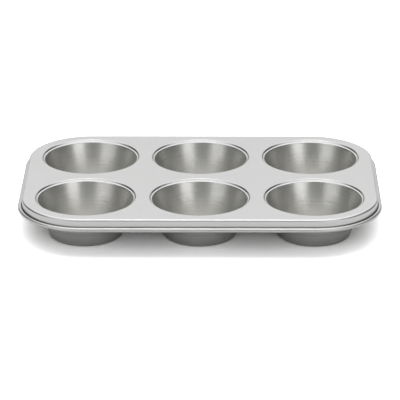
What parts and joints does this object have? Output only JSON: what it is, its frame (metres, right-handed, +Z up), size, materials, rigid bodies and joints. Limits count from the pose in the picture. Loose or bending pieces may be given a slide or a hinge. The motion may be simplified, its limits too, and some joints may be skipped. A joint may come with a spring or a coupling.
{
  "type": "muffin pan",
  "caption": "Pressed steel baking pan with round tapered cups in two rows, a recessed step round each mouth and a rolled, wire-stiffened rim.",
  "frame": {"origin": "on the ground under the middle of the pan, in the plane of the cups' undersides", "axes": "+X along the long side, +Y to the back, +Z up"},
  "size_m": [0.268, 0.1816, 0.0292],
  "materials": {
    "silver_coating": "smooth satin silver non-stick coating on pressed steel sheet",
    "wire_steel": "drawn steel wire, dark with mill scale"
  },
  "bodies": {
    "root": {"pan_pressing": "silver_coating", "rim_wire": "wire_steel"}
  },
  "joints": []
}
